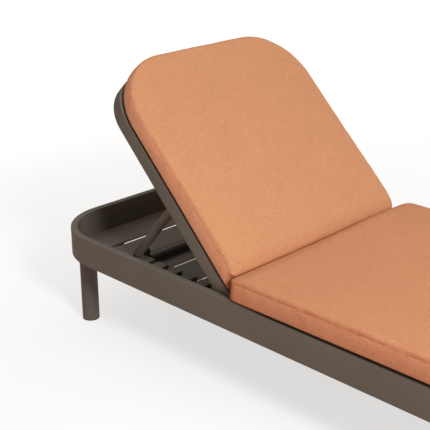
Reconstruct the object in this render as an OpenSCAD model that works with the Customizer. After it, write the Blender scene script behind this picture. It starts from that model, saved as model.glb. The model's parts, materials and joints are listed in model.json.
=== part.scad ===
// Adjustable sun lounger: tubular base frame on four round legs, slatted floor,
// nested recline frame held by a swinging stay over two notched racks,
// and a two part box cushion.
// +X points to the foot end, +Y to the sitter's left, +Z up.
// Origin: on the floor, under the middle of the base frame.

/* [Base frame] */
// Length over the rails
frame_l = 2000; // [1900:10:2100]
// Width over the rails
frame_w = 700; // [680:5:740]
// Height of the rail tops above the floor
rail_top = 298; // [290:1:320]
// Height of the rail section
rail_h = 82; // [80:1:86]
// Thickness of the rail section
rail_t = 20; // [18:1:22]
// Wall of the rail tube
rail_wall = 2; // [1.5:0.5:3]
// Outer radius of the frame corners in plan
corner_r = 178.5; // [170:0.5:185]

/* [Legs] */
// Diameter of the leg tubes
leg_d = 50; // [40:1:50]
// Distance of the leg centres from the frame ends
leg_in_x = 92.5; // [90:0.5:100]
// Distance of the leg centres from the middle line
leg_y = 275; // [265:1:280]
// Thickness of the glide under each leg
glide_t = 3; // [2:0.5:5]

/* [Slats and racks] */
// Pitch of the floor slats under the recline frame
slat_pitch = 114; // [113:1:115]
// Width of a floor slat
slat_w = 99; // [92:1:102]
// Depth of the floor slats below the rail tops
slat_drop = 74.6; // [74:0.1:76]
// Depth of the rack tops below the rail tops
rack_drop = 44; // [43.5:0.5:48]
// Distance between two notches of a rack
notch_pitch = 56; // [54:0.5:57]
// Width of a notch
notch_w = 21; // [20:0.5:24]

/* [Recline frame] */
// Angle of the recline frame above the horizontal as it stands
recline = 45.3; // [40:0.1:60]
// Distance of the hinge from the head end
hinge_from_head = 713; // [710:1:716]
// Depth of the hinge axis below the rail tops
hinge_drop = 22; // [22:0.5:23]
// Length of the recline frame from the hinge axis to its top end
back_l = 653; // [640:1:655]
// Width of the recline frame
back_w = 652; // [650:1:652]
// Height of the recline frame's tube
back_h = 40; // [38:1:40]
// Outer radius of the recline frame's corners
back_r = 122; // [120:1:124]

/* [Stay] */
// Distance from the hinge axis to the stay's shaft
stay_from_hinge = 300; // [298:1:302]
// Diameter of the stay's tubes
stay_d = 25; // [22:1:25]
// Distance from the shaft to the middle of the foot's dome
stay_l = 294.4; // [290:0.1:295]
// Angle of the stay below the horizontal as it stands
stay_angle = 49.3; // [49:0.1:52]
// Distance of the stay's arms from the middle line
stay_y = 270; // [268:1:272]

/* [Cushions] */
// Thickness of the cushions at the crown
cushion_t = 72; // [50:1:90]
// Half of the seat cushion's width
seat_half_w = 345; // [335:1:350]
// Half of the back cushion's width
back_half_w = 329; // [320:1:329]

/* [Hidden] */

metal = [0.36, 0.32, 0.29];
dark = [0.12, 0.11, 0.11];
steel = [0.55, 0.55, 0.56];
cloth = [0.82, 0.52, 0.36];

rail_z = rail_top - rail_h;
in_y = frame_w / 2 - rail_t;
hinge_x = hinge_from_head - frame_l / 2;
hinge_z = rail_top - hinge_drop;
slat_z = rail_top - slat_drop;
slat_t = 4;
first_slat = 32;
rack_z = rail_top - rack_drop;
rack_from_head = 260;
rack_l = 351;
rack_in = 237.5;
rack_w = 59.5;
notch_from = 29.5;
notch_depth = 19;
plate_t = 4;
pin_r = 6;
run_gap = 0.05;
back_t = 19;
back_in = back_w / 2 - back_t;
// Cross bar of the stay: radius, and its place beyond and below the arms' ends
bar_r = 12;
bar_out = 25.8;
bar_down = 13;
bar_gap = 2;
crank_t = 7;
bar_end = rack_in - bar_gap - crank_t - 10.5;
fine = 96;

// Distance along X from the head end
function fh(x) = x - frame_l / 2;

// Rounded rectangle, centred
module rr2d(l, w, r) {
  square([l - 2 * r, w], center = true);
  square([l, w - 2 * r], center = true);
  for (i = [-1, 1], j = [-1, 1])
    translate([i * (l / 2 - r), j * (w / 2 - r)]) circle(r = r, $fn = fine);
}

// Space inside the rails, shrunk by gap
module inside2d(gap) {
  rr2d(frame_l - 2 * (rail_t + gap), frame_w - 2 * (rail_t + gap), corner_r - rail_t - gap);
}

// Rectangular tube along X, from x0 to x1
module tube_x(x0, x1, t, h, wall) {
  difference() {
    translate([x0, -t / 2, 0]) cube([x1 - x0, t, h]);
    translate([x0 - 1, -t / 2 + wall, wall]) cube([x1 - x0 + 2, t - 2 * wall, h - 2 * wall]);
  }
}

// Hollow quarter bend of a rectangular tube, outer radius r
module bend(r, t, h, wall) {
  rotate_extrude(angle = 90, $fn = fine) difference() {
    translate([r - t, 0]) square([t, h]);
    translate([r - t + wall, wall]) square([t - 2 * wall, h - 2 * wall]);
  }
}

// ---------- base frame ----------
module end_rail(s) {
  color(metal) translate([s * (frame_l / 2 - rail_t / 2), 0, rail_z]) rotate([0, 0, 90])
    tube_x(-(frame_w / 2 - corner_r), frame_w / 2 - corner_r, rail_t, rail_h, rail_wall);
}

module side_rail(s) {
  color(metal) difference() {
    translate([0, s * (frame_w / 2 - rail_t / 2), rail_z])
      tube_x(-(frame_l / 2 - corner_r), frame_l / 2 - corner_r, rail_t, rail_h, rail_wall);
    // hole of the hinge pin in the inner wall
    translate([hinge_x, s * in_y, hinge_z]) rotate([90, 0, 0])
      cylinder(r = pin_r + 0.02, h = 2 * rail_wall + 2, center = true, $fn = fine);
  }
}

// Position of the plate screws on a corner, as angles on the middle of the rail
screw_angles = [15, 45, 75];

module corner(sx, sy) {
  color(metal) translate([sx * (frame_l / 2 - corner_r), sy * (frame_w / 2 - corner_r), rail_z])
    mirror([sx < 0 ? 1 : 0, 0, 0]) mirror([0, sy < 0 ? 1 : 0, 0]) difference() {
      bend(corner_r, rail_t, rail_h, rail_wall);
      for (a = screw_angles) rotate([0, 0, a]) translate([corner_r - rail_t / 2, 0, -1])
        cylinder(r = 2.6, h = rail_wall + 2, $fn = 48);
    }
}

// Sleeves inside the joints between straight rails and corners
module rail_splices() {
  hs = rail_h - 2 * rail_wall - 0.4;
  ts = rail_t - 2 * rail_wall - 4;
  color(steel) for (sx = [-1, 1], sy = [-1, 1]) {
    translate([sx * (frame_l / 2 - corner_r - 4), sy * (frame_w / 2 - rail_t / 2), rail_z + rail_h / 2])
      difference() { cube([56, ts, hs], center = true); cube([58, ts - 6, hs - 6], center = true); }
    translate([sx * (frame_l / 2 - rail_t / 2), sy * (frame_w / 2 - corner_r - 4), rail_z + rail_h / 2])
      difference() { cube([ts, 56, hs], center = true); cube([ts - 6, 58, hs - 6], center = true); }
  }
}

// ---------- legs ----------
module corner_plate(sx, sy) {
  color(metal) difference() {
    translate([0, 0, rail_z - plate_t]) linear_extrude(plate_t) intersection() {
      rr2d(frame_l - 16, frame_w - 16, corner_r - 8);
      translate([sx * (frame_l / 2 - 95), sy * (frame_w / 2 - 95)]) square([174, 174], center = true);
    }
    translate([sx * (frame_l / 2 - leg_in_x), sy * leg_y, rail_z - plate_t - 1])
      cylinder(r = 5.2, h = plate_t + 2, $fn = 48);
    translate([sx * (frame_l / 2 - corner_r), sy * (frame_w / 2 - corner_r), rail_z - plate_t - 1])
      mirror([sx < 0 ? 1 : 0, 0, 0]) mirror([0, sy < 0 ? 1 : 0, 0])
        for (a = screw_angles) rotate([0, 0, a]) translate([corner_r - rail_t / 2, 0, 0])
          cylinder(r = 2.6, h = plate_t + 2, $fn = 48);
  }
}

module plate_screws() {
  color(steel) for (sx = [-1, 1], sy = [-1, 1])
    translate([sx * (frame_l / 2 - corner_r), sy * (frame_w / 2 - corner_r), rail_z - plate_t])
      mirror([sx < 0 ? 1 : 0, 0, 0]) mirror([0, sy < 0 ? 1 : 0, 0])
        for (a = screw_angles) rotate([0, 0, a]) translate([corner_r - rail_t / 2, 0, 0]) {
          cylinder(r = 2.5, h = plate_t + rail_wall + 5, $fn = 48);
          translate([0, 0, -2.6]) cylinder(r = 4.8, h = 2.6, $fn = 48);
        }
}

module leg(sx, sy) {
  color(metal) translate([sx * (frame_l / 2 - leg_in_x), sy * leg_y, glide_t]) difference() {
    cylinder(r = leg_d / 2, h = rail_z - plate_t - glide_t, $fn = fine);
    translate([0, 0, -1]) cylinder(r = leg_d / 2 - 2, h = rail_z, $fn = fine);
  }
}

// Threaded plug in the top of each leg
module leg_plugs() {
  color(steel) for (sx = [-1, 1], sy = [-1, 1])
    translate([sx * (frame_l / 2 - leg_in_x), sy * leg_y, rail_z - plate_t - 25]) difference() {
      cylinder(r = leg_d / 2 - 2.05, h = 25, $fn = fine);
      translate([0, 0, -1]) cylinder(r = 5.02, h = 27, $fn = 48);
    }
}

module leg_bolts() {
  color(steel) for (sx = [-1, 1], sy = [-1, 1])
    translate([sx * (frame_l / 2 - leg_in_x), sy * leg_y, rail_z]) {
      translate([0, 0, -plate_t - 22]) cylinder(r = 5, h = plate_t + 22, $fn = 48);
      difference() {
        cylinder(r = 9, h = 2.8, $fn = 48);
        translate([0, 0, 1.2]) cylinder(r = 3, h = 3, $fn = 6);
      }
    }
}

// Push-in glides that the lounger stands on
module leg_glides() {
  color(dark) for (sx = [-1, 1], sy = [-1, 1])
    translate([sx * (frame_l / 2 - leg_in_x), sy * leg_y, 0]) {
      cylinder(r = leg_d / 2 - 0.5, h = glide_t, $fn = fine);
      translate([0, 0, glide_t]) cylinder(r = leg_d / 2 - 2.1, h = 14, $fn = fine);
    }
}

// ---------- slatted floor under the recline frame ----------
module floor_ledge(s) {
  l = hinge_from_head - 20 - corner_r;
  color(metal) translate([fh(corner_r), s > 0 ? in_y - 25 : -in_y, 0]) union() {
    translate([0, 0, slat_z - slat_t - 3]) cube([l, 25, 3]);
    translate([0, s > 0 ? 22 : 0, slat_z - slat_t - 3]) cube([l, 3, 22]);
    // lug that carries the recline frame when it lies flat
    translate([first_slat + 2 * slat_pitch - corner_r - 12, s > 0 ? 2 : 0, slat_z - slat_t - 3])
      cube([9, 23, hinge_z - back_h / 2 - 0.4 - slat_z + slat_t + 3]);
  }
}

module floor_slat(i) {
  // the first slat reaches the head rail
  more = i == 1 ? first_slat - rail_t - 1.5 : 0;
  x0 = fh(first_slat + slat_pitch * (i - 1)) - more;
  w = slat_w + more;
  // the second one's edges pass just above the corner plates
  fold = min(i + 1, 4);
  color(metal) intersection() {
    union() {
      translate([x0, -in_y + 3.5, slat_z - slat_t]) cube([w, 2 * in_y - 7, slat_t]);
      // turned-down edges
      for (x = [0, w - 3])
        translate([x0 + x, -300, slat_z - slat_t - fold]) cube([3, 600, slat_t + fold]);
    }
    translate([0, 0, slat_z - 60]) linear_extrude(80) inside2d(1);
  }
}

// ---------- seat platform ----------
module cross_beam() {
  color(metal) translate([fh(hinge_from_head + 49), 0, hinge_z - 40]) rotate([0, 0, 90])
    tube_x(-in_y, in_y, 20, 40, 2);
}

seat_x0 = hinge_from_head + 62;
seat_pitch = 240;
seat_slat_w = 190;

module seat_ledge(s) {
  l = frame_l - corner_r - seat_x0;
  color(metal) translate([fh(seat_x0), s > 0 ? in_y - 30 : -in_y, hinge_z - 26]) union() {
    translate([0, 0, 23]) cube([l, 30, 3]);
    translate([0, s > 0 ? 27 : 0, 0]) cube([l, 3, 26]);
  }
}

module seat_slat(i) {
  x0 = fh(seat_x0 + 2 + seat_pitch * (i - 1));
  color(metal) intersection() {
    difference() {
      translate([x0, -in_y + 0.5, hinge_z]) cube([seat_slat_w, 2 * in_y - 1, 20]);
      for (x = [2, seat_slat_w / 2 + 1])
        translate([x0 + x, -in_y - 1, hinge_z + 2]) cube([seat_slat_w / 2 - 3, 2 * in_y + 2, 16]);
    }
    translate([0, 0, hinge_z - 20]) linear_extrude(60) inside2d(0.5);
  }
}

// ---------- notched racks ----------
module rack(s) {
  y0 = s > 0 ? rack_in : -rack_in - rack_w;
  h = rack_z - slat_z;
  color(metal) difference() {
    translate([fh(rack_from_head), y0, slat_z]) cube([rack_l, rack_w, h]);
    translate([fh(rack_from_head) - 1, y0 + 3, slat_z - 1]) cube([rack_l + 2, rack_w - 6, h - 2]);
    for (k = [0:5])
      translate([fh(rack_from_head) + notch_from + notch_pitch * k, y0 - 1, rack_z - notch_depth])
        cube([notch_w, rack_w + 2, notch_depth + 1]);
  }
}

// ---------- hinge ----------
// Blocks inside the side rails that hold the hinge pins
module hinge_inserts() {
  color(steel) for (s = [-1, 1]) difference() {
    translate([hinge_x, s * (frame_w / 2 - rail_t / 2), rail_z + rail_h / 2])
      cube([60, rail_t - 2 * rail_wall - 0.3, rail_h - 2 * rail_wall - 0.3], center = true);
    translate([hinge_x, s * (frame_w / 2 - rail_t / 2), hinge_z]) rotate([90, 0, 0])
      cylinder(r = pin_r + 0.02, h = rail_t, center = true, $fn = fine);
  }
}

module hinge_pins() {
  color(steel) for (s = [-90, 90]) translate([hinge_x, 0, hinge_z]) rotate([s, 0, 0]) {
    translate([0, 0, back_in - 0.5]) cylinder(r = pin_r, h = in_y - back_in + rail_t - 3, $fn = fine);
    difference() {
      translate([0, 0, back_in - 5]) cylinder(r = 11, h = 4.5, $fn = fine);
      translate([0, 0, back_in - 6]) cylinder(r = 4, h = 3.5, $fn = 6);
    }
  }
}

module hinge_spacers() {
  color(dark) for (s = [-90, 90]) translate([hinge_x, 0, hinge_z]) rotate([s, 0, 0])
    translate([0, 0, back_w / 2 + 0.3]) difference() {
      cylinder(r = 15, h = in_y - back_w / 2 - 0.3, $fn = fine);
      translate([0, 0, -1]) cylinder(r = pin_r + 0.02, h = 8, $fn = fine);
    }
}

// ---------- recline frame, drawn flat with its hinge axis at the origin ----------
module posed() {
  translate([hinge_x, 0, hinge_z]) rotate([0, recline, 0]) children();
}

module back_side(s) {
  yc = s * (back_w / 2 - back_t / 2);
  color(metal) posed() difference() {
    union() {
      translate([-(back_l - back_r), yc - back_t / 2, -back_h / 2]) cube([back_l - back_r, back_t, back_h]);
      translate([0, yc, 0]) rotate([90, 0, 0]) cylinder(r = back_h / 2, h = back_t, center = true, $fn = fine);
    }
    translate([-(back_l - back_r) - 1, yc - back_t / 2 + 2, -back_h / 2 + 2])
      cube([back_l - back_r + 1, back_t - 4, back_h - 4]);
    translate([0, yc, 0]) rotate([90, 0, 0]) cylinder(r = 8.02, h = back_t + 2, center = true, $fn = fine);
    // blind hole, so that the shaft's end stays hidden behind the outer wall
    translate([-stay_from_hinge, yc - s * 2, 0]) rotate([90, 0, 0])
      cylinder(r = 8.02, h = back_t, center = true, $fn = fine);
  }
}

module back_corner(s) {
  color(metal) posed() translate([-(back_l - back_r), s * (back_w / 2 - back_r), -back_h / 2])
    mirror([1, 0, 0]) mirror([0, s < 0 ? 1 : 0, 0]) bend(back_r, back_t, back_h, 2);
}

module back_top_rail() {
  color(metal) posed() translate([-(back_l - back_t / 2), 0, -back_h / 2]) rotate([0, 0, 90])
    tube_x(-(back_w / 2 - back_r), back_w / 2 - back_r, back_t, back_h, 2);
}

module back_bottom_rail() {
  color(metal) posed() translate([-40, 0, -back_h / 2]) rotate([0, 0, 90])
    tube_x(-back_in, back_in, back_t, back_h, 2);
}

back_slat_from = [60, 168, 328, 430];

module back_slat(i) {
  color(metal) posed() translate([-back_slat_from[i - 1] - 94, -back_in, back_h / 2 - 6]) difference() {
    cube([94, 2 * back_in, 6]);
    for (x = [1.5, 47.75]) translate([x, -1, 1.5]) cube([44.75, 2 * back_in + 2, 3]);
  }
}

// Sleeves for the hinge pins and for the stay's shaft
module back_bushes() {
  color(dark) posed() for (s = [-1, 1]) {
    translate([0, s * (back_w / 2 - back_t / 2), 0]) rotate([90, 0, 0]) difference() {
      cylinder(r = 8, h = back_t, center = true, $fn = fine);
      cylinder(r = pin_r + run_gap, h = back_t + 2, center = true, $fn = fine);
    }
    translate([-stay_from_hinge, s * (back_w / 2 - back_t / 2 - 1.1), 0]) rotate([90, 0, 0]) difference() {
      cylinder(r = 8, h = back_t - 2.2, center = true, $fn = fine);
      cylinder(r = pin_r + run_gap, h = back_t + 2, center = true, $fn = fine);
    }
  }
}

// ---------- stay, drawn with its shaft on the Y axis and its arms along -X ----------
module at_stay() {
  posed() translate([-stay_from_hinge, 0, 0]) rotate([0, -recline - stay_angle, 0]) children();
}

module stay_shaft() {
  color(metal) at_stay() rotate([90, 0, 0]) {
    difference() {
      cylinder(r = stay_d / 2, h = 2 * back_in - 6, center = true, $fn = fine);
      cylinder(r = stay_d / 2 - 2, h = 2 * back_in - 54, center = true, $fn = fine);
    }
    cylinder(r = pin_r, h = 2 * (back_in + back_t) - 7, center = true, $fn = fine);
  }
}

module stay_arm(s) {
  color(metal) at_stay() difference() {
    translate([0, s * stay_y, 0]) rotate([0, -90, 0]) cylinder(r = stay_d / 2, h = stay_l - 6.4, $fn = fine);
    translate([0, s * stay_y, 0]) rotate([0, -90, 0]) translate([0, 0, -1])
      cylinder(r = stay_d / 2 - 2, h = stay_l, $fn = fine);
    rotate([90, 0, 0]) cylinder(r = stay_d / 2 + 0.05, h = frame_w, center = true, $fn = fine);
  }
}

// Lower cross bar, between the racks
module stay_bar() {
  color(metal) at_stay() translate([-stay_l - bar_out, 0, -bar_down]) rotate([90, 0, 0]) difference() {
    cylinder(r = bar_r, h = 2 * bar_end, center = true, $fn = fine);
    cylinder(r = bar_r - 2, h = 2 * rack_in, center = true, $fn = fine);
  }
}

// Domed plugs in the arms' lower ends, each with a crank that carries the cross bar
module stay_feet() {
  color(dark) at_stay() for (s = [-1, 1]) {
    translate([0, s * stay_y, 0]) rotate([0, -90, 0]) {
      translate([0, 0, stay_l - 36.4]) cylinder(r = stay_d / 2 - 2.1, h = 32, $fn = fine);
      translate([0, 0, stay_l - 6.4]) cylinder(r = stay_d / 2, h = 2, $fn = fine);
      translate([0, 0, stay_l - 5]) cylinder(r = stay_d / 2 - 1.5, h = 5, $fn = fine);
      translate([0, 0, stay_l]) sphere(r = stay_d / 2 - 1.5, $fn = fine);
    }
    translate([-stay_l, s * (rack_in - bar_gap - crank_t), 0]) rotate([s > 0 ? -90 : 90, 0, 0])
      cylinder(r = 6, h = stay_y - rack_in + bar_gap + crank_t, $fn = fine);
    translate([-stay_l, s * (rack_in - bar_gap - crank_t / 2), 0]) rotate([90, 0, 0])
      cylinder(r = 9, h = crank_t, center = true, $fn = fine);
    translate([-stay_l - bar_out, 0, -bar_down]) rotate([s > 0 ? -90 : 90, 0, 0]) {
      translate([0, 0, bar_end - 12]) cylinder(r = bar_r - 2.1, h = 12, $fn = fine);
      translate([0, 0, bar_end]) cylinder(r = bar_r, h = 2, $fn = fine);
      translate([0, 0, bar_end]) cylinder(r = 7, h = 10.5 + crank_t, $fn = fine);
    }
    translate([-stay_l, s * (rack_in - bar_gap - crank_t / 2), 0]) rotate([0, -atan2(bar_down, bar_out), 0])
      translate([-sqrt(bar_out * bar_out + bar_down * bar_down), -crank_t / 2, -7])
        cube([sqrt(bar_out * bar_out + bar_down * bar_down), crank_t, 14]);
  }
}

// ---------- cushions ----------
seat_lean = 20;
back_lean = 54;
// Keeps the seat cushion clear of the side tubes when the recline frame is fully raised
seat_end_gap = 6.5;

module seat_cushion() {
  x1 = frame_l / 2 - 8;
  r = 170;
  z0 = rail_top + 0.3;
  color(cloth) difference() {
    translate([0, 0, z0]) linear_extrude(cushion_t) {
      translate([hinge_x, -seat_half_w]) square([x1 - r - hinge_x, 2 * seat_half_w]);
      translate([x1 - r - 1, -seat_half_w + r]) square([r + 1, 2 * (seat_half_w - r)]);
      for (s = [-1, 1]) translate([x1 - r, s * (seat_half_w - r)]) circle(r = r, $fn = fine);
    }
    translate([hinge_x + seat_end_gap, 0, hinge_z]) rotate([0, seat_lean, 0]) translate([-200, -400, -50]) cube([200, 800, 250]);
  }
}

module back_cushion() {
  z0 = back_h / 2 + 2.8;
  x1 = back_l + 19;
  r = 165;
  color(cloth) posed() difference() {
    translate([0, 0, z0]) linear_extrude(cushion_t - 8) {
      translate([-x1 + r, -back_half_w]) square([x1 - r, 2 * back_half_w]);
      translate([-x1, -back_half_w + r]) square([r + 1, 2 * (back_half_w - r)]);
      for (s = [-1, 1]) translate([-x1 + r, s * (back_half_w - r)]) circle(r = r, $fn = fine);
    }
    rotate([0, -back_lean, 0]) translate([0, -400, -50]) cube([300, 800, 350]);
  }
}

end_rail(-1);  // head_rail
end_rail(1);  // foot_rail
side_rail(1);  // side_rail_left
side_rail(-1);  // side_rail_right
corner(-1, 1);  // corner_head_left
corner(-1, -1);  // corner_head_right
corner(1, 1);  // corner_foot_left
corner(1, -1);  // corner_foot_right
rail_splices();
corner_plate(-1, 1);  // plate_head_left
corner_plate(-1, -1);  // plate_head_right
corner_plate(1, 1);  // plate_foot_left
corner_plate(1, -1);  // plate_foot_right
leg(-1, 1);  // leg_head_left
leg(-1, -1);  // leg_head_right
leg(1, 1);  // leg_foot_left
leg(1, -1);  // leg_foot_right
leg_plugs();
leg_bolts();
plate_screws();
leg_glides();
floor_ledge(1);  // floor_ledge_left
floor_ledge(-1);  // floor_ledge_right
floor_slat(1);  // floor_slat_1
floor_slat(2);  // floor_slat_2
floor_slat(3);  // floor_slat_3
floor_slat(4);  // floor_slat_4
floor_slat(5);  // floor_slat_5
floor_slat(6);  // floor_slat_6
cross_beam();
seat_ledge(1);  // seat_ledge_left
seat_ledge(-1);  // seat_ledge_right
seat_slat(1);  // seat_slat_1
seat_slat(2);  // seat_slat_2
seat_slat(3);  // seat_slat_3
seat_slat(4);  // seat_slat_4
seat_slat(5);  // seat_slat_5
rack(1);  // rack_left
rack(-1);  // rack_right
hinge_inserts();
hinge_pins();
hinge_spacers();
seat_cushion();
back_side(1);  // back_side_left
back_side(-1);  // back_side_right
back_corner(1);  // back_corner_left
back_corner(-1);  // back_corner_right
back_top_rail();
back_bottom_rail();
back_slat(1);  // back_slat_1
back_slat(2);  // back_slat_2
back_slat(3);  // back_slat_3
back_slat(4);  // back_slat_4
back_bushes();
back_cushion();
stay_shaft();
stay_arm(1);  // stay_arm_left
stay_arm(-1);  // stay_arm_right
stay_bar();
stay_feet();
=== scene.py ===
import json
import math

import bmesh
import bpy
import numpy as np
from mathutils import Matrix, Vector, noise


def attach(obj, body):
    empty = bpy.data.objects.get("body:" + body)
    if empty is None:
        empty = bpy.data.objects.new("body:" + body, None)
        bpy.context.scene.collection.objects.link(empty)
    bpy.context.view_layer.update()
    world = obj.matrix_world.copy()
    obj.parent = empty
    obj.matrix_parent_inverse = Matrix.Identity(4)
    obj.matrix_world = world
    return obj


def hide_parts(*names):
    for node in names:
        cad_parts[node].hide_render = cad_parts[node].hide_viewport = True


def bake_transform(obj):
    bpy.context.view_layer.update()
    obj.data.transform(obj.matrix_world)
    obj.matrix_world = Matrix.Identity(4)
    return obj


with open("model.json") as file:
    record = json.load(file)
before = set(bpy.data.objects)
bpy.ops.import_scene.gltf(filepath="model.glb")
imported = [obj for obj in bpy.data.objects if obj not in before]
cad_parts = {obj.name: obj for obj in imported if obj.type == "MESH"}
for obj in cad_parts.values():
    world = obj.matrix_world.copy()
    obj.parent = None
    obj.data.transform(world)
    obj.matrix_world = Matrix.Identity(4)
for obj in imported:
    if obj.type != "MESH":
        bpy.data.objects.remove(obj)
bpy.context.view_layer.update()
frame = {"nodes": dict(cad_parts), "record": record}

MM = 0.001
REST = math.radians(45.3)
HX, HZ = -0.287, 0.276  # recline hinge axis

# ------------------------------------------------------------------ camera
cam_data = bpy.data.cameras.new("camera")
cam = bpy.data.objects.new("camera", cam_data)
bpy.context.scene.collection.objects.link(cam)
az, el, ro = math.radians(45.363), math.radians(21.091), math.radians(-0.455)
fwd = Vector((-math.sin(az) * math.cos(el), math.cos(az) * math.cos(el), -math.sin(el)))
right = fwd.cross(Vector((0, 0, 1))).normalized()
up = right.cross(fwd)
r2 = right * math.cos(ro) + up * math.sin(ro)
u2 = -right * math.sin(ro) + up * math.cos(ro)
rot = Matrix((r2, u2, -fwd)).transposed().to_4x4()
cam.matrix_world = Matrix.Translation((1.320448, -1.952881, 1.389304)) @ rot
cam_data.sensor_width = 36
cam_data.lens = 86.355
cam_data.clip_start, cam_data.clip_end = 0.05, 200
bpy.context.scene.camera = cam
bpy.context.scene.view_settings.view_transform = "Standard"

# ------------------------------------------------------------------ light and floor
world = bpy.data.worlds.new("world")
bpy.context.scene.world = world
world.use_nodes = True
wn, wl = world.node_tree.nodes, world.node_tree.links
w_tc = wn.new("ShaderNodeTexCoord")
w_sep = wn.new("ShaderNodeSeparateXYZ")
w_ramp = wn.new("ShaderNodeValToRGB")
w_map = wn.new("ShaderNodeMapRange")
for k_, v_ in zip(("From Min", "From Max", "To Min", "To Max"), (-1.0, 1.0, 0.0, 1.0)):
    w_map.inputs[k_].default_value = v_
wl.new(w_tc.outputs["Generated"], w_sep.inputs[0])
wl.new(w_sep.outputs["Z"], w_map.inputs["Value"])
wl.new(w_map.outputs["Result"], w_ramp.inputs["Fac"])
w_ramp.color_ramp.elements[0].position = 0.0
w_ramp.color_ramp.elements[0].color = (0.66, 0.54, 0.49, 1)
w_ramp.color_ramp.elements[1].position = 1.0
w_ramp.color_ramp.elements[1].color = (0.95, 0.915, 0.885, 1)
for p_, c_ in ((0.44, (0.60, 0.49, 0.45, 1)), (0.52, (0.13, 0.125, 0.12, 1)), (0.74, (0.24, 0.232, 0.225, 1))):
    w_ramp.color_ramp.elements.new(p_).color = c_
wl.new(w_ramp.outputs["Color"], wn["Background"].inputs["Color"])
wn["Background"].inputs["Strength"].default_value = 1.0


def area_light(name, power, size, at, target, color):
    d = bpy.data.lights.new(name, "AREA")
    d.energy, d.size, d.color = power, size, color
    o = bpy.data.objects.new(name, d)
    bpy.context.scene.collection.objects.link(o)
    o.location = at
    o.rotation_mode = "QUATERNION"
    o.rotation_quaternion = (Vector(at) - Vector(target)).to_track_quat("Z", "Y")
    return o


area_light("key", 172, 0.75, (3.1, -1.45, 2.6), (-0.3, 0.0, 0.3), (0.93, 1.0, 1.06))
area_light("side_fill", 8, 1.5, (0.9, -3.2, 0.6), (-0.2, 0.0, 0.35), (1.0, 0.84, 0.82))
area_light("head_fill", 8, 2.0, (-3.0, 0.3, 2.6), (-0.9, 0.0, 0.25), (1.0, 0.99, 0.98))


# ------------------------------------------------------------------ node helpers
def new_material(name):
    m = bpy.data.materials.new(name)
    m.use_nodes = True
    nt = m.node_tree
    nt.nodes.clear()
    out = nt.nodes.new("ShaderNodeOutputMaterial")
    bsdf = nt.nodes.new("ShaderNodeBsdfPrincipled")
    nt.links.new(bsdf.outputs["BSDF"], out.inputs["Surface"])
    return m, nt, bsdf


def srgb(r, g, b):
    def f(c):
        c /= 255.0
        return c / 12.92 if c <= 0.04045 else ((c + 0.055) / 1.055) ** 2.4
    return (f(r), f(g), f(b), 1)


def tex_noise(nt, vec, scale, detail=3.0, rough=0.55):
    n = nt.nodes.new("ShaderNodeTexNoise")
    n.inputs["Scale"].default_value = scale
    n.inputs["Detail"].default_value = detail
    n.inputs["Roughness"].default_value = rough
    nt.links.new(vec, n.inputs["Vector"])
    return n


def ramp(nt, fac, stops):
    r = nt.nodes.new("ShaderNodeValToRGB")
    el_ = r.color_ramp.elements
    while len(el_) > 1:
        el_.remove(el_[-1])
    el_[0].position, el_[0].color = stops[0]
    for p, c in stops[1:]:
        e = el_.new(p)
        e.color = c
    nt.links.new(fac, r.inputs["Fac"])
    return r


def maprange(nt, val, a, b, c, d):
    m = nt.nodes.new("ShaderNodeMapRange")
    for k, v in zip(("From Min", "From Max", "To Min", "To Max"), (a, b, c, d)):
        m.inputs[k].default_value = v
    nt.links.new(val, m.inputs["Value"])
    return m


def math_node(nt, op, a, b=None):
    m = nt.nodes.new("ShaderNodeMath")
    m.operation = op
    for k, v in ((0, a), (1, b)):
        if v is None:
            continue
        if isinstance(v, (int, float)):
            m.inputs[k].default_value = v
        else:
            nt.links.new(v, m.inputs[k])
    return m


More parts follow.
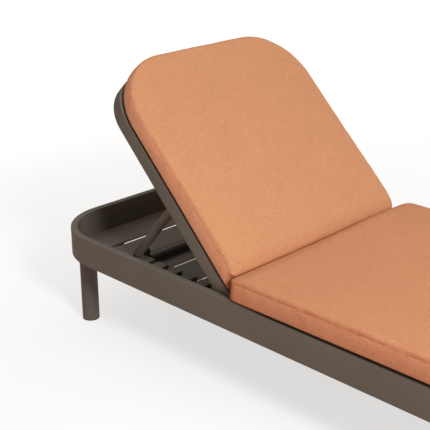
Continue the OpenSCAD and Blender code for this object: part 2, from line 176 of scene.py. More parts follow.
# ------------------------------------------------------------------ materials
def powder_coat(name, col, rough=0.5, var=0.06, scale=1.0):
    m, nt, bsdf = new_material(name)
    tc = nt.nodes.new("ShaderNodeTexCoord")
    big = tex_noise(nt, tc.outputs["Object"], 5.0 * scale, 2.0)
    fine_ = tex_noise(nt, tc.outputs["Object"], 900.0, 2.0, 0.6)
    peel = tex_noise(nt, tc.outputs["Object"], 260.0, 2.0, 0.5)
    lo = [c * (1 - var) for c in col[:3]] + [1]
    hi = [c * (1 + var) for c in col[:3]] + [1]
    r = ramp(nt, big.outputs["Fac"], [(0.3, lo), (0.7, hi)])
    speck = ramp(nt, fine_.outputs["Fac"], [(0.35, (0.86, 0.86, 0.86, 1)), (0.65, (1.12, 1.12, 1.12, 1))])
    mix = nt.nodes.new("ShaderNodeMix")
    mix.data_type = "RGBA"
    mix.blend_type = "MULTIPLY"
    mix.inputs["Factor"].default_value = 1.0
    nt.links.new(r.outputs["Color"], mix.inputs[6])
    nt.links.new(speck.outputs["Color"], mix.inputs[7])
    # painted shade where a cushion rests on the metal, stored on the mesh
    at = nt.nodes.new("ShaderNodeAttribute")
    at.attribute_name = "painted_contact_shade"
    sh = ramp(nt, at.outputs["Fac"], [(0.0, (1, 1, 1, 1)), (1.0, (0.12, 0.11, 0.10, 1))])
    mx = nt.nodes.new("ShaderNodeMix")
    mx.data_type = "RGBA"
    mx.blend_type = "MULTIPLY"
    mx.inputs["Factor"].default_value = 1.0
    nt.links.new(mix.outputs[2], mx.inputs[6])
    nt.links.new(sh.outputs["Color"], mx.inputs[7])
    nt.links.new(mx.outputs[2], bsdf.inputs["Base Color"])
    rr = maprange(nt, fine_.outputs["Fac"], 0.3, 0.7, rough - 0.05, rough + 0.08)
    nt.links.new(rr.outputs["Result"], bsdf.inputs["Roughness"])
    b1 = nt.nodes.new("ShaderNodeBump")
    b1.inputs["Strength"].default_value = 0.25
    b1.inputs["Distance"].default_value = 0.00025
    nt.links.new(fine_.outputs["Fac"], b1.inputs["Height"])
    b2 = nt.nodes.new("ShaderNodeBump")
    b2.inputs["Strength"].default_value = 0.18
    b2.inputs["Distance"].default_value = 0.0004
    nt.links.new(peel.outputs["Fac"], b2.inputs["Height"])
    nt.links.new(b1.outputs["Normal"], b2.inputs["Normal"])
    nt.links.new(b2.outputs["Normal"], bsdf.inputs["Normal"])
    bsdf.inputs["Specular IOR Level"].default_value = 0.42
    return m


def plastic(name, col, rough=0.45):
    m, nt, bsdf = new_material(name)
    tc = nt.nodes.new("ShaderNodeTexCoord")
    n = tex_noise(nt, tc.outputs["Object"], 700.0, 2.0)
    r = ramp(nt, n.outputs["Fac"], [(0.35, [c * 0.85 for c in col[:3]] + [1]), (0.65, [c * 1.15 for c in col[:3]] + [1])])
    nt.links.new(r.outputs["Color"], bsdf.inputs["Base Color"])
    rr = maprange(nt, n.outputs["Fac"], 0.3, 0.7, rough - 0.05, rough + 0.08)
    nt.links.new(rr.outputs["Result"], bsdf.inputs["Roughness"])
    b = nt.nodes.new("ShaderNodeBump")
    b.inputs["Strength"].default_value = 0.3
    b.inputs["Distance"].default_value = 0.0002
    nt.links.new(n.outputs["Fac"], b.inputs["Height"])
    nt.links.new(b.outputs["Normal"], bsdf.inputs["Normal"])
    return m


def zinc(name):
    m, nt, bsdf = new_material(name)
    tc = nt.nodes.new("ShaderNodeTexCoord")
    n = tex_noise(nt, tc.outputs["Object"], 220.0, 4.0)
    r = ramp(nt, n.outputs["Fac"], [(0.3, (0.36, 0.36, 0.35, 1)), (0.7, (0.52, 0.52, 0.53, 1))])
    nt.links.new(r.outputs["Color"], bsdf.inputs["Base Color"])
    rr = maprange(nt, n.outputs["Fac"], 0.3, 0.7, 0.26, 0.42)
    nt.links.new(rr.outputs["Result"], bsdf.inputs["Roughness"])
    bsdf.inputs["Metallic"].default_value = 1.0
    b = nt.nodes.new("ShaderNodeBump")
    b.inputs["Strength"].default_value = 0.15
    b.inputs["Distance"].default_value = 0.0002
    nt.links.new(n.outputs["Fac"], b.inputs["Height"])
    nt.links.new(b.outputs["Normal"], bsdf.inputs["Normal"])
    return m


def fabric(name, base, light, darker):
    """Woven outdoor fabric, mapped by the cover's own UVs in metres."""
    m, nt, bsdf = new_material(name)
    uv = nt.nodes.new("ShaderNodeUVMap")
    uv.uv_map = "cloth"
    sep = nt.nodes.new("ShaderNodeSeparateXYZ")
    nt.links.new(uv.outputs["UV"], sep.inputs[0])

    def stretched(sx, sy):
        mp = nt.nodes.new("ShaderNodeMapping")
        mp.inputs["Scale"].default_value = (sx, sy, 1)
        nt.links.new(uv.outputs["UV"], mp.inputs["Vector"])
        return mp.outputs["Vector"]

    # warp and weft threads, 1.3 mm apart
    pitch = 0.0013
    k = 2 * math.pi / pitch
    wa = math_node(nt, "SINE", math_node(nt, "MULTIPLY", sep.outputs["X"], k).outputs[0])
    wb = math_node(nt, "SINE", math_node(nt, "MULTIPLY", sep.outputs["Y"], k).outputs[0])
    weave = math_node(nt, "MULTIPLY", wa.outputs[0], wb.outputs[0])
    # uneven yarns: long thin streaks both ways
    slub_u = tex_noise(nt, stretched(900, 45), 1.0, 3.0, 0.6)
    slub_v = tex_noise(nt, stretched(45, 900), 1.0, 3.0, 0.6)
    fleck = tex_noise(nt, stretched(160, 110), 1.0, 4.0, 0.65)
    cloud = tex_noise(nt, stretched(9, 9), 1.0, 3.0, 0.5)
    yarn = math_node(nt, "ADD", slub_u.outputs["Fac"], slub_v.outputs["Fac"])
    yarn = math_node(nt, "MULTIPLY", yarn.outputs[0], 0.5)
    tone = ramp(nt, yarn.outputs[0], [(0.36, darker), (0.5, base), (0.62, light)])
    fl = ramp(nt, fleck.outputs["Fac"], [(0.3, (0.95, 0.945, 0.94, 1)), (0.5, (1, 1, 1, 1)), (0.7, (1.035, 1.03, 1.03, 1))])
    cl = ramp(nt, cloud.outputs["Fac"], [(0.3, (0.975, 0.97, 0.965, 1)), (0.7, (1.02, 1.02, 1.02, 1))])
    m1 = nt.nodes.new("ShaderNodeMix"); m1.data_type = "RGBA"; m1.blend_type = "MULTIPLY"
    m1.inputs["Factor"].default_value = 1.0
    nt.links.new(tone.outputs["Color"], m1.inputs[6]); nt.links.new(fl.outputs["Color"], m1.inputs[7])
    m2 = nt.nodes.new("ShaderNodeMix"); m2.data_type = "RGBA"; m2.blend_type = "MULTIPLY"
    m2.inputs["Factor"].default_value = 1.0
    nt.links.new(m1.outputs[2], m2.inputs[6]); nt.links.new(cl.outputs["Color"], m2.inputs[7])
    # painted shade in folds, in the crease, along the seams and under the bottom edges, stored on the mesh
    at = nt.nodes.new("ShaderNodeAttribute")
    at.attribute_name = "seam_shade"
    sh = ramp(nt, at.outputs["Fac"], [(0.0, (1, 1, 1, 1)), (0.5, (0.66, 0.43, 0.30, 1)), (1.0, (0.07, 0.04, 0.025, 1))])
    m3 = nt.nodes.new("ShaderNodeMix"); m3.data_type = "RGBA"; m3.blend_type = "MULTIPLY"
    m3.inputs["Factor"].default_value = 1.0
    nt.links.new(m2.outputs[2], m3.inputs[6]); nt.links.new(sh.outputs["Color"], m3.inputs[7])
    # painted light on the side panels: the back cushion's sides lighter and the seat cushion's sides redder than the
    # top, standing in for the light that falls on them; set to match the photo under these lights
    pn = nt.nodes.new("ShaderNodeAttribute")
    pn.attribute_name = "panel"
    side_light_ramp = ramp(nt, pn.outputs["Fac"], [(0.0, (1.19, 1.135, 1.26, 1)), (0.5, (1, 1, 1, 1)), (1.0, (1.04, 0.955, 1.02, 1))])
    m4 = nt.nodes.new("ShaderNodeMix"); m4.data_type = "RGBA"; m4.blend_type = "MULTIPLY"
    m4.inputs["Factor"].default_value = 1.0
    nt.links.new(m3.outputs[2], m4.inputs[6]); nt.links.new(side_light_ramp.outputs["Color"], m4.inputs[7])
    nt.links.new(m4.outputs[2], bsdf.inputs["Base Color"])
    rr = maprange(nt, fleck.outputs["Fac"], 0.3, 0.7, 0.82, 0.95)
    nt.links.new(rr.outputs["Result"], bsdf.inputs["Roughness"])
    bsdf.inputs["Specular IOR Level"].default_value = 0.12
    bsdf.inputs["Sheen Weight"].default_value = 0.04
    bsdf.inputs["Sheen Roughness"].default_value = 0.5
    bsdf.inputs["Sheen Tint"].default_value = (1.0, 0.86, 0.76, 1)
    b1 = nt.nodes.new("ShaderNodeBump")
    b1.inputs["Strength"].default_value = 0.5
    b1.inputs["Distance"].default_value = 0.0003
    nt.links.new(weave.outputs[0], b1.inputs["Height"])
    b2 = nt.nodes.new("ShaderNodeBump")
    b2.inputs["Strength"].default_value = 0.5
    b2.inputs["Distance"].default_value = 0.0006
    nt.links.new(yarn.outputs[0], b2.inputs["Height"])
    nt.links.new(b1.outputs["Normal"], b2.inputs["Normal"])
    b3 = nt.nodes.new("ShaderNodeBump")
    b3.inputs["Strength"].default_value = 0.35
    b3.inputs["Distance"].default_value = 0.004
    nt.links.new(fleck.outputs["Fac"], b3.inputs["Height"])
    nt.links.new(b2.outputs["Normal"], b3.inputs["Normal"])
    # soft uneven ripples of the cover
    rip = tex_noise(nt, stretched(34, 13), 1.0, 3.0, 0.5)
    b4 = nt.nodes.new("ShaderNodeBump")
    b4.inputs["Strength"].default_value = 0.5
    b4.inputs["Distance"].default_value = 0.0035
    nt.links.new(rip.outputs["Fac"], b4.inputs["Height"])
    nt.links.new(b3.outputs["Normal"], b4.inputs["Normal"])
    nt.links.new(b4.outputs["Normal"], bsdf.inputs["Normal"])
    return m


MAT_COAT = powder_coat("powder_coat", srgb(98, 88, 76))
# painted shade: a darker copy of the coat, used for the legs
MAT_LEG_SHADED = powder_coat("powder_coat_leg", srgb(87, 79, 69))
MAT_BLACK = plastic("black_plastic", srgb(38, 35, 33))
MAT_ZINC = zinc("zinc")
MAT_CLOTH = fabric("terracotta_cloth", srgb(201, 136, 95), srgb(210, 146, 105), srgb(191, 124, 84))
# painted light: the back cushion's cover is a copy of the cloth a touch yellower, standing in for the different light
# on it, and the legs' coat above is a darker copy standing in for shade; both set to match the photo under these lights
MAT_CLOTH_BACK_LIT = fabric("terracotta_cloth_back_painted_light", srgb(200, 139, 98), srgb(209, 149, 109), srgb(190, 127, 86))

record = frame["record"]
slot_of = {s["node"]: s["material_slot"] for s in record["subparts"]}
for name, o in frame["nodes"].items():
    mat = {"powder_coat": MAT_COAT, "black_plastic": MAT_BLACK, "steel": MAT_ZINC, "cushion_fabric": MAT_CLOTH}[slot_of[name]]
    # painted shade: the legs get the darker copy of the coat
    if name.startswith("leg_") and mat is MAT_COAT:
        mat = MAT_LEG_SHADED
    for s in o.material_slots:
        s.material = mat
    if not o.material_slots:
        o.data.materials.append(mat)


# ------------------------------------------------------------------ swept rails with rounded edges
def mesh_object(name, verts, faces, mat, smooth=True):
    me = bpy.data.meshes.new(name)
    me.from_pydata([tuple(v) for v in verts], [], faces)
    me.validate()
    me.update()
    o = bpy.data.objects.new(name, me)
    bpy.context.scene.collection.objects.link(o)
    me.materials.append(mat)
    if smooth:
        me.polygons.foreach_set("use_smooth", [True] * len(me.polygons))
    return o


def rounded_section(t, h, r, n=4):
    """Closed section: list of (across, up) points, counter-clockwise, centred across, from 0 up."""
    pts = []
    for cx, cy, a0 in ((t / 2 - r, h - r, 0), (-t / 2 + r, h - r, 90), (-t / 2 + r, r, 180), (t / 2 - r, r, 270)):
        for k in range(n + 1):
            a = math.radians(a0 + 90 * k / n)
            pts.append((cx + r * math.cos(a), cy + r * math.sin(a)))
    return pts


def round_rect_path(l, w, r, n=28, straight=12):
    """Middle line of a rounded rectangle, as (point, outward normal), anticlockwise from +X."""
    out = []
    corners = ((l / 2 - r, w / 2 - r, 0), (-l / 2 + r, w / 2 - r, 90), (-l / 2 + r, -w / 2 + r, 180), (l / 2 - r, -w / 2 + r, 270))
    for q, (cx, cy, a0) in enumerate(corners):
        for k in range(n + 1):
            a = math.radians(a0 + 90 * k / n)
            out.append(((cx + r * math.cos(a), cy + r * math.sin(a)), (math.cos(a), math.sin(a))))
        nx, ny, b0 = corners[(q + 1) % 4]
        a1 = math.radians(a0 + 90)
        p0 = (cx + r * math.cos(a1), cy + r * math.sin(a1))
        p1 = (nx + r * math.cos(math.radians(b0)), ny + r * math.sin(math.radians(b0)))
        for k in range(1, straight):
            f = k / straight
            out.append(((p0[0] + (p1[0] - p0[0]) * f, p0[1] + (p1[1] - p0[1]) * f), (math.cos(a1), math.sin(a1))))
    return out


def base_rail():
    sec = rounded_section(0.020, 0.082, 0.0028)
    path = round_rect_path(2.0 - 0.02, 0.7 - 0.02, 0.1785 - 0.01)
    n, m = len(path), len(sec)
    verts = [(p[0] + nn[0] * s[0], p[1] + nn[1] * s[0], 0.216 + s[1]) for p, nn in path for s in sec]
    faces = []
    for i in range(n):
        for j in range(m):
            a, b = i * m + j, i * m + (j + 1) % m
            c, d = ((i + 1) % n) * m + (j + 1) % m, ((i + 1) % n) * m + j
            faces.append((a, d, c, b))
    o = mesh_object("base_rail", verts, faces, MAT_COAT)
    # painted shade on the rail's top edge beneath the seat cushion
    at = o.data.attributes.new("painted_contact_shade", "FLOAT", "POINT")
    at.data.foreach_set("value", np.array([1.0 if v[2] > 0.2962 and v[0] > -0.262 else 0.0 for v in verts], np.float32))
    return o


rail = base_rail()
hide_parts("head_rail", "foot_rail", "side_rail_left", "side_rail_right", "corner_head_left", "corner_head_right", "corner_foot_left", "corner_foot_right")
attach(rail, "base")


def from_back(a, v, h):
    """Point of the recline frame at rest: a along it from the hinge, v across, h above its middle plane. Metres."""
    return (HX - a * math.cos(REST) + h * math.sin(REST), v, HZ + a * math.sin(REST) + h * math.cos(REST))


def back_bow():
    t, w, length, r, hh = 0.019, 0.652, 0.653, 0.122, 0.020
    er = 0.0028
    half = []
    for k in range(1, 15):
        ang = math.radians(90 * k / 14)
        half.append(((-0.020 * math.cos(ang), w / 2 - t / 2), (0.0, 1.0), 0.020 * math.sin(ang)))
    for k in range(1, 12):
        half.append((((length - r) * k / 12, w / 2 - t / 2), (0.0, 1.0), hh))
    for k in range(0, 23):
        ang = math.radians(90 - 90 * k / 22)
        rc = r - t / 2
        half.append(((length - r + rc * math.cos(ang), w / 2 - r + rc * math.sin(ang)), (math.cos(ang), math.sin(ang)), hh))
    path = half + [((p[0], p[1] * f), (1.0, 0.0), hh) for f in (0.5,) for p, _, _ in [half[-1]]]
    path = path + [((half[-1][0][0], 0.0), (1.0, 0.0), hh)]
    mirror = [((p[0], -p[1]), (n_[0], -n_[1]), k) for p, n_, k in reversed(path[:-1])]
    path = path + mirror
    verts = []
    for p, n_, k in path:
        e = min(er, k * 0.49)
        sec = rounded_section(t, 2 * k, e)
        for s0, s1 in sec:
            verts.append(from_back(p[0] + n_[0] * s0, p[1] + n_[1] * s0, s1 - k))
    m = len(rounded_section(t, 0.04, er))
    n = len(path)
    faces = []
    for i in range(n - 1):
        for j in range(m):
            a, b = i * m + j, i * m + (j + 1) % m
            faces.append((a, b, b + m, a + m))
    faces.append(tuple(range(m - 1, -1, -1)))
    faces.append(tuple((n - 1) * m + j for j in range(m)))
    o = mesh_object("back_bow", verts, faces, MAT_COAT)
    bm = bmesh.new()
    bm.from_mesh(o.data)
    bmesh.ops.recalc_face_normals(bm, faces=bm.faces)
    bm.to_mesh(o.data)
    bm.free()
    return o


bow = back_bow()
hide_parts("back_side_left", "back_side_right", "back_corner_left", "back_corner_right", "back_top_rail")
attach(bow, "back")

for name, o in frame["nodes"].items():
    if name.startswith(("floor_slat", "rack_", "seat_slat", "back_slat", "floor_ledge", "seat_ledge", "back_bottom", "cross_beam", "plate_")):
        mod = o.modifiers.new("edge", "BEVEL")
        mod.width = 0.0012 if name.startswith(("floor_slat", "rack")) else 0.0008
        mod.segments = 2
        mod.limit_method = "ANGLE"
        mod.angle_limit = math.radians(40)


# ------------------------------------------------------------------ cushions
def smooth(x, a, b):
    t = np.clip((x - a) / (b - a), 0, 1)
    return t * t * (3 - 2 * t)


def fbm1(x, seed, octaves=3):
    """Smooth one-dimensional noise from -1 to 1, from Blender's own noise."""
    out = np.zeros_like(x)
    for q, v in np.ndenumerate(x):
        out[q] = noise.fractal(Vector((v, seed, 0.37 * seed)), 1.0, 2.0, octaves)
    return out


class Cushion:
    """Box cushion: a flat-lying side panel, a seam, a rounded fold and a gently crowned top.
    s runs from the crease end to the far end, v across, h up from its underside. Metres."""

    def __init__(self, s0, s1, half, radius, seam, fold, fold_in, dome, valley, bulge, lean, tuck, seed, puff=0.0, far_fold=0.0, near=0.014, step=0.009, seam_tone=0.5, side_panel_light=0.5):
        self.s0, self.s1, self.half, self.r, self.rn = s0, s1, half, radius, near
        self.seam, self.fold, self.fold_in, self.dome = seam, fold, fold_in, dome
        self.lean, self.tuck, self.seed = lean, tuck, seed
        self.valley, self.bulge, self.puff, self.far_fold = valley, bulge, puff, far_fold
        self.seam_tone, self.side_panel_light = seam_tone, side_panel_light
        first = np.array([0, 0.0004, 0.0012, 0.0026, 0.0046, 0.0075, 0.0115, 0.017, 0.024])
        body = np.arange(s0 + 0.032, s1 - radius - step * 0.5, step)
        s_line = np.concatenate([s0 + first, body, [s1 - radius]])
        q = np.clip((s0 + near - s_line) / near, 0, 1)
        w_line = half - near * (1 - np.sqrt(1 - q * q))
        nc = int(radius * math.pi / 2 / step)
        ang = np.radians(np.linspace(0, 90, nc + 1)[1:])
        self.s = np.concatenate([s_line, s1 - radius + radius * np.sin(ang)])
        self.w = np.concatenate([w_line, half - radius + radius * np.cos(ang)])
        ends = np.array([0, 0.0009, 0.0022, 0.0042, 0.0070, 0.0105, 0.0150, 0.021])
        pos = np.concatenate([half - ends, half - np.arange(0.029, half, step)])
        pos = pos[pos > step * 0.3]
        self.v = np.unique(np.round(np.concatenate([-pos, [0.0], pos]) / half, 6))

    def inset(self, s, y):
        """How far a point lies inside the seam line."""
        ay = np.abs(y)
        far, near, side = self.s1 - s, s - self.s0, self.half - ay
        cx, cy = s - (self.s1 - self.r), ay - (self.half - self.r)
        nx, ny = (self.s0 + self.rn) - s, ay - (self.half - self.rn)
        d = np.minimum(np.minimum(far, near), side)
        d = np.where((cx > 0) & (cy > 0), self.r - np.hypot(np.maximum(cx, 0), np.maximum(cy, 0)), d)
        d = np.where((nx > 0) & (ny > 0), self.rn - np.hypot(np.maximum(nx, 0), np.maximum(ny, 0)), d)
        return np.maximum(d, 0)

    def rise(self, s, y):
        """Height of the top above the seam: a rounded fold along the edges, a crown, and a soft valley at the crease."""
        d = self.inset(s, y)
        wall = np.where(s < self.s0 + self.rn, np.interp(s, self.s[:9], self.w[:9]) - np.abs(y), self.half - np.abs(y))
        e = np.where(s < self.s0 + 0.2, np.maximum(wall, 0), d)
        lift = self.far_fold * smooth(y, -0.15, 0.30)
        q = np.clip(e / (self.fold_in + 0.4 * lift), 0, 1)
        run = (s - self.s0) / (self.s1 - self.s0)
        h = (self.fold + lift + self.puff * (1 - smooth(run, 0.0, 0.8))) * np.sqrt(1 - (1 - q) ** 2)
        h = h + self.dome * (1 - (1 - np.clip(e / 0.22, 0, 1)) ** 2)
        g = 1 - (1 - np.clip((s - self.s0) / self.valley, 0, 1)) ** 2
        return h * g, d

    def build(self, name, place, mat, drop_near=0.0):
        S, V = self.s, self.v
        ns, nv = len(S), len(V)
        verts, uvs, shade, kind = [], [], [], []

        def put(s, y, h, uv, sh=0.0, k=0.0):
            verts.append((s, y, h))
            uvs.append(uv)
            shade.append(sh)
            kind.append(k)
            return len(verts) - 1

        yy = self.w[:, None] * V[None, :]
        ss = np.repeat(S[:, None], nv, 1)
        h, d = self.rise(ss, yy)
        top = np.empty((ns, nv), int)
        for i in range(ns):
            for j in range(nv):
                # painted shade along the seam groove, broken into dashes; the groove is also cut into the surface
                groove = math.exp(-d[i, j] / 0.0013)
                dash = 0.60 + 0.75 * noise.noise(Vector((ss[i, j] * 48, yy[i, j] * 48, self.seed + 20)))
                # painted shade of the crease, wider towards +y where the photo keeps it dark
                across = float(smooth(np.array(yy[i, j]), -0.25, 0.25))
                at_crease = (0.62 + 0.24 * across) * math.exp(-(ss[i, j] - self.s0) / (0.0022 + 0.0018 * across))
                top[i, j] = put(ss[i, j], yy[i, j], self.seam + h[i, j] - 0.0010 * groove, (ss[i, j], yy[i, j]), max(self.seam_tone * dash * groove, at_crease), 1.0 if d[i, j] > 0.002 else 0.0)
        loop = [(i, 0) for i in range(ns)] + [(ns - 1, j) for j in range(1, nv)] + [(i, nv - 1) for i in range(ns - 2, -1, -1)] + [(0, j) for j in range(nv - 2, 0, -1)]
        pts = np.array([[ss[i, j], yy[i, j]] for i, j in loop])
        n = len(loop)
        tan = np.roll(pts, -1, 0) - np.roll(pts, 1, 0)
        tan /= np.maximum(np.linalg.norm(tan, axis=1, keepdims=True), 1e-9)
        nor = np.stack([tan[:, 1], -tan[:, 0]], 1)
        # side panel, from the seam to the underside
        H, T = self.seam, self.tuck
        levels = [0.0009, 0.0022, 0.0045, 0.008, 0.013, 0.019, 0.025, H - T - 0.006] + [H - T * f for f in (1.0, 0.8, 0.6, 0.4, 0.22, 0.1, 0.03, 0.0)]
        levels = sorted(set(round(v, 6) for v in levels if 0 < v <= H))
        along = np.concatenate([[0], np.cumsum(np.linalg.norm(np.diff(pts, axis=0), axis=1))])
        rings = []
        for down in levels:
            hh = H - down
            bulge = self.bulge * math.sin(math.pi * min(1.0, down / H)) ** 0.55
            tuck = 0.0
            if hh < T:
                q = 1 - hh / T
                tuck = T * 0.95 * (1 - math.sqrt(max(0.0, 1 - q * q)))
            # painted shade below the seam, under the bottom edge and at the crease end of the side panel
            groove = 0.5 * self.seam_tone * math.exp(-down / 0.0012)
            under = smooth(np.array(hh), 0.0048, 0.0008)
            ring = []
            for q in range(n):
                i, j = loop[q]
                ease = float(smooth(np.array(pts[q][0]), self.s0 + 0.001, self.s0 + self.rn * 1.3))
                o = (bulge - tuck) * ease
                p = pts[q] + nor[q] * o
                in_crease = (1 - ease) * 0.8
                ring.append(put(p[0], p[1], hh, (along[q], -down), max(groove, float(under), in_crease), 0.5 if hh > T else 0.0))
            rings.append(ring)
        bottom = np.empty((ns, nv), int)
        for q in range(n):
            bottom[loop[q]] = rings[-1][q]
        # underside of the cushion, given some painted shade
        for i in range(1, ns - 1):
            for j in range(1, nv - 1):
                f = self.half - T * 0.95
                bottom[i, j] = put(min(ss[i, j], self.s1 - T * 0.95), yy[i, j] * f / self.half, 0.0, (ss[i, j], yy[i, j]), 0.3)
        faces = []
        for i in range(ns - 1):
            for j in range(nv - 1):
                faces.append((top[i, j], top[i + 1, j], top[i + 1, j + 1], top[i, j + 1]))
                faces.append((bottom[i, j], bottom[i, j + 1], bottom[i + 1, j + 1], bottom[i + 1, j]))
        prev = [top[i, j] for i, j in loop]
        for ring in rings:
            for q in range(n):
                r_ = (q + 1) % n
                faces.append((prev[q], ring[q], ring[r_], prev[r_]))
            prev = ring
        co = self.unevenness(np.array(verts))
        # the crease end leans: lower points reach further under the crease
        near = 1 - smooth(co[:, 0] - self.s0, 0, 0.09)
        co[:, 0] -= self.lean * (1 - np.clip(co[:, 2] / self.seam, 0, 1)) * near
        world_co = [place(*p) for p in co]
        o = mesh_object(name, world_co, faces, mat)
        me = o.data
        uvl = me.uv_layers.new(name="cloth")
        li = np.empty(len(me.loops), int)
        me.loops.foreach_get("vertex_index", li)
        uvl.data.foreach_set("uv", np.array(uvs)[li].astype(np.float32).ravel())
        at = me.attributes.new("seam_shade", "FLOAT", "POINT")
        at.data.foreach_set("value", np.array(shade, np.float32))
        # painted light on the side panels: their tint, 0.5 on the top
        pa = me.attributes.new("panel", "FLOAT", "POINT")
        pa.data.foreach_set("value", np.array([0.5 if k == 1.0 else self.side_panel_light for k in kind], np.float32))
        fr = me.attributes.new("free", "FLOAT", "POINT")
        fr.data.foreach_set("value", np.array(kind, np.float32))
        bm = bmesh.new()
        bm.from_mesh(me)
        bmesh.ops.recalc_face_normals(bm, faces=bm.faces)
        bm.to_mesh(me)
        bm.free()
        return o

    def unevenness(self, co):
        s, y, h = co[:, 0].copy(), co[:, 1].copy(), co[:, 2].copy()
        d = self.inset(s, y)
        above = h >= self.seam - 0.0011
        dist = np.where(above, d, self.seam - h)
        run = np.where(np.abs(y) > self.half - self.r - 0.02, s + np.sign(y) * 7.0, y + 3.0)
        # the seam wanders a little, and the cloth puckers beside it
        wander = fbm1(run * 15, self.seed + 9, 3)
        rip = fbm1(run * 34 + dist * 6, self.seed, 2)
        fine_rip = fbm1(run * 70 - dist * 12, self.seed + 5.0, 2)
        co = co.copy()
        lower = (~above) & (h > 0.004)
        side_sign = np.where(np.abs(y) > self.half - 0.03, np.sign(y), 0.0)
        near_seam = np.exp(-dist / 0.016)
        co[:, 2] += np.where(h > self.tuck, 0.0016 * wander * near_seam, 0)
        amp = 0.0012 * rip * np.exp(-np.abs(dist - 0.012) / 0.014) + 0.0006 * fine_rip * np.exp(-dist / 0.012)
        co[:, 2] += np.where(above, amp, 0)
        co[:, 1] += np.where(lower, side_sign * amp * 1.5, 0)
        big = np.array([noise.noise(Vector((a * 3.1, b * 3.1, self.seed))) for a, b in zip(s, y)])
        mid = np.array([noise.noise(Vector((a * 8.0, b * 8.0, self.seed + 3))) for a, b in zip(s, y)])
        inside = smooth(d, 0.01, 0.10)
        co[:, 2] += np.where(above, inside * (0.0020 * big + 0.0008 * mid), 0)
        # the long sides pull in a little between the corners
        span = np.clip((s - self.s0) / (self.s1 - self.s0), 0, 1)
        co[:, 1] *= 1 - 0.0035 * np.sin(math.pi * span)
        return co


def swell(o, cap=0.0045, frames=20):
    """Inflates the cover with a cloth simulation held at its seams and underside, and writes the result back."""
    me = o.data
    n = len(me.vertices)
    free = np.empty(n, np.float32)
    me.attributes["free"].data.foreach_get("value", free)
    base = np.empty(n * 3, np.float32)
    me.vertices.foreach_get("co", base)
    base = base.reshape(-1, 3)
    pin = o.vertex_groups.new(name="pin")
    pin.add([int(k) for k in np.nonzero(free == 0)[0]], 1.0, "REPLACE")
    pin.add([int(k) for k in np.nonzero(free == 0.5)[0]], 0.25, "REPLACE")
    mod = o.modifiers.new("swell", "CLOTH")
    st = mod.settings
    st.quality = 6
    st.mass = 0.25
    st.tension_stiffness = st.compression_stiffness = 12
    st.shear_stiffness = 5
    st.bending_stiffness = 0.4
    st.use_pressure = True
    st.uniform_pressure_force = 4
    st.shrink_min = -0.012
    st.vertex_group_mass = "pin"
    st.effector_weights.gravity = 0
    mod.collision_settings.use_collision = False
    mod.point_cache.frame_start, mod.point_cache.frame_end = 1, frames
    sc = bpy.context.scene
    for f in range(1, frames + 1):
        sc.frame_set(f)
    dg = bpy.context.evaluated_depsgraph_get()
    ev = o.evaluated_get(dg)
    m2 = ev.to_mesh()
    got = np.empty(len(m2.vertices) * 3, np.float32)
    m2.vertices.foreach_get("co", got)
    ev.to_mesh_clear()
    got = got.reshape(-1, 3)
    o.modifiers.remove(mod)
    o.vertex_groups.remove(pin)
    sc.frame_set(1)
    if len(got) != n or not np.all(np.isfinite(got)):
        return
    move = got - base
    length = np.maximum(np.linalg.norm(move, axis=1, keepdims=True), 1e-9)
    move *= np.minimum(1.0, cap / length)
    me.vertices.foreach_set("co", (base + move).astype(np.float32).ravel())
    me.update()


seat_place = lambda s, v, h: (s, v, 0.2984 + h)
seat = Cushion(s0=-0.268, s1=0.9935, half=0.3475, radius=0.1715, seam=0.0494, fold=0.0135, fold_in=0.0125, dome=0.008, valley=0.065, bulge=0.0055, lean=0.0045, tuck=0.0085, seed=2.0, far_fold=0.020, near=0.026, seam_tone=0.42, side_panel_light=1.0)
seat_o = seat.build("seat_cushion_cover", seat_place, MAT_CLOTH)
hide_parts("seat_cushion")
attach(seat_o, "base")

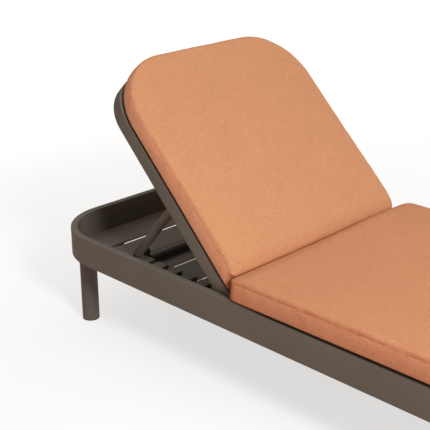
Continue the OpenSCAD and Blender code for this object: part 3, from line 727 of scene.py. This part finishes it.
back_place = lambda s, v, h: from_back(s, v, 0.0246 + h)
back_c = Cushion(s0=0.0385, s1=0.672, half=0.3285, radius=0.170, seam=0.0430, fold=0.0095, fold_in=0.011, dome=0.006, valley=0.055, bulge=0.0025, lean=0.026, tuck=0.012, seed=7.0, puff=0.0085, near=0.020, seam_tone=0.26, side_panel_light=0.0)
back_o = back_c.build("back_cushion_cover", back_place, MAT_CLOTH_BACK_LIT)
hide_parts("back_cushion")

for o in (seat_o, back_o):
    swell(o)
    sub = o.modifiers.new("smooth", "SUBSURF")
    sub.levels = sub.render_levels = 1

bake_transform(back_o)

# ------------------------------------------------------------------ floor
fm, fnt, fb = new_material("floor")
ftc = fnt.nodes.new("ShaderNodeTexCoord")
fn_ = tex_noise(fnt, ftc.outputs["Object"], 3.0, 2.0)
fr = ramp(fnt, fn_.outputs["Fac"], [(0.3, (0.295, 0.29, 0.285, 1)), (0.7, (0.305, 0.30, 0.295, 1))])
fnt.links.new(fr.outputs["Color"], fb.inputs["Base Color"])
fb.inputs["Emission Color"].default_value = (1.0, 0.995, 0.985, 1)
far = fnt.nodes.new("ShaderNodeVectorMath")
far.operation = "LENGTH"
fnt.links.new(ftc.outputs["Object"], far.inputs[0])
glow = maprange(fnt, far.outputs["Value"], 1.0, 4.0, 0.68, 0.92)
fb.inputs["Roughness"].default_value = 0.9
fb.inputs["Specular IOR Level"].default_value = 0.0
fnt.links.new(glow.outputs["Result"], fb.inputs["Emission Strength"])
# a plain floor that runs up into a plain backdrop all round
R = 30.0
f_v, f_f, seg = [(0, 0, 0)], [], 64
profile = [(2.0, 0.0), (8.0, 0.0), (R, 0.0)] + [(R * math.cos(math.radians(a)), R * math.sin(math.radians(a))) for a in (5, 12, 20, 30, 42, 55, 70, 84)]
for pr, pz in profile:
    f_v += [(pr * math.cos(2 * math.pi * k / seg), pr * math.sin(2 * math.pi * k / seg), pz) for k in range(seg)]
f_f += [(0, 1 + k, 1 + (k + 1) % seg) for k in range(seg)]
for q in range(len(profile) - 1):
    for k in range(seg):
        a, b = 1 + q * seg + k, 1 + q * seg + (k + 1) % seg
        f_f.append((a, a + seg, b + seg, b))
floor = mesh_object("floor", f_v, f_f, fm, smooth=False)
floor.visible_shadow = False
floor.visible_diffuse = False
floor.visible_glossy = False
